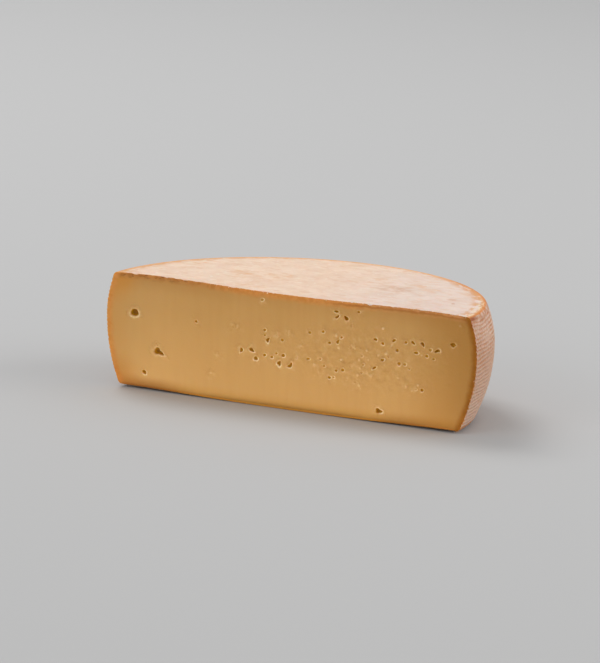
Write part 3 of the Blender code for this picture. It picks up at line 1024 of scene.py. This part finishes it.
def paste_material():
    """The cut: a smooth golden paste that deepens to orange and brown towards the rind, with painted
    shade near its top, foot and right end.
    """
    material, shader, start = new_material("golden_paste", {
        "Subsurface Weight": 0.35,
        "Subsurface Radius": (1.0, 0.48, 0.16),
        "Subsurface Scale": 0.006,
        "Specular IOR Level": 0.25,
    })
    place = start.node("ShaderNodeTexCoord", None, None, "Object")
    x, _, z = place.parts()
    from_top, from_base = mark(start, "from_top"), mark(start, "from_base")
    from_heel = mark(start, "from_heel")
    hollow, lip, frayed = mark(start, "hollow"), mark(start, "lip"), mark(start, "torn")

    cloud = place.grain(0.030, 3.0)
    streak = place.scaled(9.0, 1.0, 0.8).grain(0.040, 3.0)
    pitted = (x - PITTED_X).length_with((z - PITTED_Z) * 2.6).step(0.080, 0.020)
    uneven = (pitted * 0.6).highest(frayed)
    specks = place.grain(0.0017, 2.0)
    # The dimple noise bumps the pitted paste and also paints its shading as lighter and darker patches
    dimple_relief_and_shading = place.grain(0.0044, 1.0)
    tone = painted(
        cloud.blend((197, 148, 83), (205, 156, 91)),
        (streak.step(0.35, 0.75) * 0.25, (192, 142, 77)),
        (specks.step(0.54, 0.72) * uneven * 0.30, (224, 182, 128)),
        (specks.step(0.46, 0.30) * uneven * 0.25, (172, 120, 56)),
        (dimple_relief_and_shading.step(0.54, 0.68) * uneven * 0.30, (222, 178, 122)),
        (dimple_relief_and_shading.step(0.46, 0.32) * uneven * 0.30, (176, 124, 62)),
    )

    # Towards the rind the paste is darker, most at the right end, and orange at the left. Much of this
    # is painted light:
    # painted shade under the upper rind, along the foot, in the lower left corner and partly at the
    # right end, and at the left partly a painted glow of light through the rind
    wobble = (place.grain(0.0045, 3.0) - 0.5) * 0.0022
    right = x.step(0.03, 0.11)
    left = x.step(-0.03, -0.09)
    middle = abs(x - 0.004).step(0.075, 0.040)
    # Painted shade under the upper rind, less in the middle
    shade = (from_top + wobble).step(0.015, 0.0005) * (0.48 - 0.22 * middle)
    # Painted shade along the cut's foot, stronger towards both ends
    base_ends = (x.step(0.060, 0.085) * 0.7).highest(x.step(-0.060, -0.105))
    base_shade = (from_base + wobble * 0.5).step(0.0095, 0.0005) * (0.55 + 0.28 * base_ends)
    upper_corner = (x + 0.134).length_with(z - 0.080).step(0.024, 0.005)
    # Painted shade in the cut's lower left corner, on the paste and on the rind's band
    lower_corner_shade = (x + 0.131).length_with(z - 0.002).step(0.027, 0.003)
    tone = painted(
        tone,
        # Lighter and orange towards the left end: partly the paste's colour, partly a painted glow of
        # light through the rind. Darker towards the right rind: partly the paste's ageing, partly
        # painted shade
        (x.step(-0.05, -0.12) * 0.45, (214, 165, 100)),
        (from_heel.step(0.060, 0.003) * right * 0.8, (181, 126, 54)),
        (from_heel.step(0.022, 0.003) * left * 0.45, (212, 152, 80)),
        (shade, (182, 126, 60)),
        (base_shade, base_ends.blend((199, 139, 50), (160, 100, 20))),
        (upper_corner * 0.68, (214, 143, 58)),
        (lower_corner_shade * 0.62, (184, 118, 44)),
    )

    # The thin band of rind along the edges
    blotch = place.grain(0.0034, 3.0)
    mottle = blotch.step(0.35, 0.65)
    brown = mottle.blend((196, 134, 70), (180, 118, 54))
    tan = mottle.blend((208, 146, 86), (194, 130, 68))
    orange = mottle.blend((212, 144, 72), (202, 132, 60))
    line = (from_top + wobble).step(0.0034, 0.0024) * (from_top + wobble).step(0.0010, 0.0020)
    nicks = place.scaled(0.6, 1.0, 1.6).grain(0.0024, 3.0).step(0.52, 0.66)
    nicks = nicks * x.step(-0.070, -0.085) * x.step(-0.131, -0.126)
    top_tone = painted(
        middle.blend(x.step(0.01, 0.05).blend(brown, tan), orange),
        (line * x.step(0.02, 0.05) * 0.65, (168, 100, 34)),
        (nicks * 0.65, (126, 74, 28)),
    )
    top_band = (from_top + wobble - middle * 0.0008).step(0.0052, 0.0010)
    # The band's orange at the left end is partly a painted glow of light through the rind, and its dark
    # at the right end partly painted shade
    left_tone = blotch.step(0.35, 0.7).blend((218, 150, 78), (210, 138, 64))
    left_tone = (lower_corner_shade * 0.6).blend(left_tone, (186, 112, 40))
    right_tone = blotch.step(0.3, 0.7).blend((162, 101, 20), (150, 90, 10))
    heel_tone = x.step(-0.02, 0.06).blend(left_tone, right_tone)
    heel_reach = 0.0050 + right * 0.0010 + left * 0.0014
    heel_band = 1.0 - ((from_heel + wobble) / heel_reach).step(0.25, 1.0)
    base_line = base_ends.blend((238, 158, 66), (176, 108, 40))
    # Pale torn lip, with a painted highlight on the side towards the light
    torn_lip_and_highlight = (lip * (0.42 + 0.45 * specks.step(0.35, 0.60))).lowest(1.0)

    # That band goes over the paste, and eyes are amber brown inside, darkened with depth as painted
    # shade, with a pale torn lip that is paler towards the light as a painted highlight
    tone = painted(
        tone,
        ((from_base + wobble * 0.4).step(0.0019, 0.0007), base_line),
        (top_band, top_tone),
        (heel_band, heel_tone),
        (torn_lip_and_highlight, (240, 204, 152)),
        # Painted shade: darker and amber brown with depth inside the eyes
        (hollow.step(0.06, 0.42), (190, 134, 16)),
        (hollow.step(0.55, 0.90), (156, 102, 0)),
    )

    gloss = 0.42 + 0.16 * cloud + 0.2 * heel_band
    fine = place.grain(0.0012, 3.0) * (0.4 + 0.6 * uneven) + streak * 0.2
    fine = fine + dimple_relief_and_shading * (0.5 + 2.5 * uneven)
    finish_material(shader, tone, gloss, fine, 0.00016)
    return material


def rind_material():
    """The washed rind: pale and pinkish, orange at the rims, marked by cloth round the heel."""
    material, shader, start = new_material("washed_rind", {
        "Subsurface Weight": 0.20,
        "Subsurface Radius": (1.0, 0.42, 0.22),
        "Subsurface Scale": 0.004,
        "Specular IOR Level": 0.25,
    })
    place = start.node("ShaderNodeTexCoord", None, None, "Object")
    x, y, z = place.parts()
    from_cut = y - CUT_Y
    radius = x.length_with(from_cut)
    share, reach, ridge = mark(start, "share"), mark(start, "reach"), mark(start, "ridge")

    # Upper face and underside
    mottle = place.grain(0.014, 4.0, 0.6)
    fleck = place.grain(0.0045, 3.0, 0.6)
    streaks = place.scaled(0.45, 1.0, 1.0).grain(0.0040, 3.0, 0.6)
    cream = mottle.step(0.35, 0.65).blend((240, 211, 187), (233, 201, 176))
    pink = mottle.step(0.35, 0.65).blend((233, 210, 196), (226, 201, 186))
    stains = place.grain(0.030, 4.0, 0.65).step(0.52, 0.68) * streaks.step(0.40, 0.58)
    # A soft brownish patch on the upper face
    brownish_patch = (x - 0.053).length_with((from_cut - 0.056) * 1.5).step(0.019, 0.006)
    dot = (x - 0.107).length_with(from_cut - 0.0325).step(0.0017, 0.0008)
    smear = (x - 0.1015).length_with(from_cut - 0.0441).step(0.0050, 0.0015)
    pale = painted(
        x.step(-0.01, 0.08).blend(cream, pink),
        (streaks.step(0.48, 0.70) * 0.6, (225, 184, 154)),
        (fleck.step(0.58, 0.74) * 0.6, (246, 230, 214)),
        (stains * (0.70 - 0.35 * x.step(-0.04, 0.04)), (226, 176, 132)),
        (brownish_patch * streaks.step(0.36, 0.58) * 0.55, (204, 158, 126)),
        (dot.highest(smear * 0.5), (206, 150, 116)),
    )

    # The rim is rubbed orange in a thin line, with crumbling yellowish patches inside it
    edge_x = WHEEL_RADIUS - UPPER_RIM_INSET - 0.4 * RIM_ROUNDING
    upper_edge = (radius - edge_x).length_with(z - UPPER_RIM_HEIGHT)
    lower_edge = (radius - (WHEEL_RADIUS - LOWER_RIM_INSET)).length_with(z - LOWER_RIM_HEIGHT)
    ragged = (place.grain(0.006, 3.0) - 0.5) * 0.0042
    angle = from_cut.math("ARCTAN2", from_cut, x)
    round_rim = start.vector(angle * WHEEL_RADIUS * 0.35, radius, 0.0)
    smudges = round_rim.grain(0.0050, 3.0, 0.6)
    grains = round_rim.grain(0.0020, 2.0)
    corner = x.step(0.108, 0.124)
    worn = x.step(0.045, 0.082).highest(x.step(-0.060, -0.095) * 0.5)
    band_reach = 0.0062 - 0.0034 * corner
    band = ((upper_edge + ragged * 0.8) / band_reach).step(1.0, 0.55)
    patched = smudges + 0.07 * worn - 0.06 * corner
    patch = (upper_edge + ragged * 2.0).step(0.0130, 0.0040) * patched.step(0.46, 0.56)
    patch_tone = fleck.step(0.4, 0.6).blend((228, 170, 118), (220, 154, 98))
    crumbly = (upper_edge + ragged * 1.4).step(0.0085, 0.0028) * grains.step(0.44, 0.60)
    pale = painted(
        pale,
        (band * 0.85, fleck.step(0.4, 0.6).blend((236, 184, 138), (226, 164, 110))),
        (patch * (0.45 + 0.40 * worn), (worn * 0.6).blend(patch_tone, (212, 142, 88))),
        (crumbly * corner * 0.70, (240, 214, 176)),
    )
    rim_reach = 0.0021 + 0.0012 * worn - 0.0016 * corner
    rim_line = ((upper_edge + ragged * 0.7) / rim_reach).step(1.0, 0.35)
    outer_side = z.step(UPPER_RIM_HEIGHT - 0.0001, UPPER_RIM_HEIGHT - 0.0014)
    # Painted shade on the rim's outer side by the cut's right corner, under its crumbly edge
    notch_shade = corner * from_cut.step(0.014, 0.002)
    rim_tone = painted(
        outer_side.blend((236, 180, 130), (212, 134, 74)),
        (fleck.step(0.45, 0.65) * 0.5, (204, 116, 56)),
        (worn * 0.75, (212, 128, 64)),
        (grains.step(0.52, 0.66) * (0.45 - 0.25 * worn), (236, 178, 118)),
        (notch_shade * outer_side * 0.85, (140, 70, 30)),
    )

    # The heel: pale crests, and broken brown grooves between them, finer and fainter below; painted
    # shade darkens the middle of its height and a short line under the rim by the cut's right corner
    cloth = start.vector(reach, share * HEEL_HEIGHT, 0.0)
    warp = (cloth.grain(0.007, 2.0) - 0.5) * 1.6
    row = ridge.math("FLOOR", ridge)
    thin = (cloth.scaled(0.7, 1.0, 1.0).grain(0.0030, 2.0) - 0.5) * 0.36
    groove = (abs(ridge.math("FRACT", ridge) - 0.5) + thin).step(0.30, 0.08)
    dash = ((reach / THREAD_SPACING + row * 0.5 + warp) * math.tau).sine().step(-0.45, 0.35)
    dashed = cloth.grain(0.020, 2.0).step(0.38, 0.55)
    dash = 1.0 - dashed * (1.0 - dash) * 0.8
    cross = cloth.scaled(1.0, 0.55, 1.0).grain(0.0022, 2.0)
    on_heel = share.lowest(1.0 - share).step(0.012, 0.050)
    marks = groove * dash * (0.20 + 0.80 * deep_patches(cloth)) * on_heel
    lower = share.step(0.72, 0.38)
    slant = (reach + share * HEEL_HEIGHT) / 0.0024 + (cloth.grain(0.006, 2.0) - 0.5) * 2.4
    hatch = (slant * math.tau).sine().step(-0.1, 0.8) * lower * on_heel
    speckles = cloth.grain(0.0017, 2.0)
    clusters = 0.30 + 0.70 * cloth.grain(0.022, 2.0).step(0.42, 0.60)
    under_rim = share.step(0.90, 0.97) * cloth.scaled(1.0, 2.0, 1.0).grain(0.006, 3.0).step(0.36, 0.56)
    # Painted shadow: a dark line under the overhanging rim by the cut's right corner
    crease_shadow = share.step(0.962, 0.972) * corner * from_cut.step(0.015, 0.004)
    heel = painted(
        cross.step(0.35, 0.65).blend((207, 168, 144), (228, 193, 171)),
        (cloth.grain(0.040, 3.0).step(0.42, 0.66) * 0.45, (196, 150, 122)),
        # Painted shade: darker at the middle of the heel's height
        (share.step(0.84, 0.62) * share.step(0.14, 0.42) * 0.42, (180, 134, 106)),
        (lower * 0.60, (214, 176, 152)),
        (hatch * 0.24, (176, 134, 108)),
        (marks * (0.72 - 0.40 * lower), lower.blend((196, 118, 62), (182, 128, 94))),
        (speckles.step(0.57, 0.70) * clusters * 0.55, (178, 116, 72)),
        (speckles.step(0.43, 0.32) * clusters * 0.40, (232, 202, 184)),
        (under_rim * 0.60, (190, 126, 86)),
        (crease_shadow * 0.85, (158, 84, 42)),
    )

    tone = painted(
        share.step(0.985, 0.999).highest(share.step(0.012, 0.0)).blend(heel, pale),
        (rim_line, rim_tone),
        ((lower_edge + ragged).step(0.0040, 0.0016) * 0.8, (190, 120, 64)),
    )
    gloss = 0.72 + 0.12 * mottle
    knit = (1.0 - groove * (0.4 + 0.6 * dash)) * on_heel
    fine = knit * 0.9 + cross * 0.7 * on_heel - speckles * 0.5 * on_heel - hatch * 0.25
    fine = fine + fleck * 0.5 + streaks * 0.3
    finish_material(shader, tone, gloss, fine, 0.00026)
    return material


def crumb_material():
    """Crumbs of rind and paste: cream, tan and a few brown ones."""
    material, shader, start = new_material("edge_crumbs", {
        "Subsurface Weight": 0.20,
        "Subsurface Scale": 0.003,
        "Specular IOR Level": 0.25,
    })
    place = start.node("ShaderNodeTexCoord", None, None, "Object")
    x, _, z = place.parts()
    lot = place.grain(0.0032, 1.0)
    tone = lot.step(0.40, 0.56).blend((206, 146, 84), (242, 212, 176))
    tone = (x.step(0.118, 0.126) * z.step(0.078, 0.074) * 0.8).blend(tone, (190, 128, 66))
    finish_material(shader, tone, 0.6 + 0.2 * lot, place.grain(0.0006, 2.0), 0.00010)
    return material


# Stage, light and camera


def build_floor():
    """A plain pale disc that reaches past the picture."""
    mesh = bpy.data.meshes.new("floor")
    turns = [math.tau * step / FLOOR_SIDES for step in range(FLOOR_SIDES)]
    ring = [(FLOOR_RADIUS * math.cos(turn), FLOOR_RADIUS * math.sin(turn), 0.0) for turn in turns]
    mesh.from_pydata(ring, [], [list(range(FLOOR_SIDES))])
    settings = {"Roughness": 0.9, "Base Color": srgb(190, 190, 190)}
    material, _, _ = new_material("pale_floor", settings)
    mesh.materials.append(material)
    floor = add_piece("floor", mesh)


def add_area(name, place, aim, size, power):
    """A soft rectangular light, out of the camera's sight, that faces a point."""
    data = bpy.data.lights.new(name, "AREA")
    data.shape = "RECTANGLE"
    data.size, data.size_y = size
    data.energy = power
    light = bpy.data.objects.new(name, data)
    light.visible_camera = False
    light.location = place
    light.rotation_mode = "QUATERNION"
    light.rotation_quaternion = (Vector(aim) - Vector(place)).to_track_quat("-Z", "Y")
    bpy.context.scene.collection.objects.link(light)


def build_light():
    """A pale room, three soft lights, and a faint glow from below on the cut's foot."""
    world = bpy.data.worlds.new("soft_room")
    world.use_nodes = True
    sky = world.node_tree.nodes["Background"]
    sky.inputs["Color"].default_value = (1.0, 1.0, 1.0, 1.0)
    sky.inputs["Strength"].default_value = ROOM_STRENGTH
    bpy.context.scene.world = world
    for name, place, side, power in LIGHTS:
        add_area(name, place, LIGHT_AIM, (side, side), power)
    card_y = CUT_Y - CARD_HEIGHT - 0.5 * CARD_DEPTH
    card_size = (CARD_WIDTH, CARD_DEPTH)
    add_area("card", (0.0, card_y, CARD_HEIGHT), (0.0, card_y, 1.0), card_size, CARD_POWER)


def build_camera():
    """The camera at the photograph's place, turn and lens."""
    data = bpy.data.cameras.new("camera")
    data.lens = CAMERA_LENS
    data.sensor_width = CAMERA_SENSOR
    data.clip_start = 0.1
    data.clip_end = 60.0
    camera = bpy.data.objects.new("camera", data)
    turn = Matrix.Rotation(CAMERA_YAW, 4, "Z") @ Matrix.Rotation(0.5 * math.pi - CAMERA_DOWN, 4, "X")
    turn = turn @ Matrix.Rotation(CAMERA_ROLL, 4, "Z")
    camera.matrix_world = Matrix.Translation(CAMERA_PLACE) @ turn
    bpy.context.scene.collection.objects.link(camera)
    bpy.context.scene.camera = camera
    bpy.context.scene.view_settings.view_transform = "Standard"


build_camera()
build_light()
build_floor()
cheese, cut_edge = build_cheese(rind_material(), paste_material())
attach(cheese, "root")
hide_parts("half_wheel")
crumbs = build_crumbs(cut_edge)
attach(crumbs, "root")
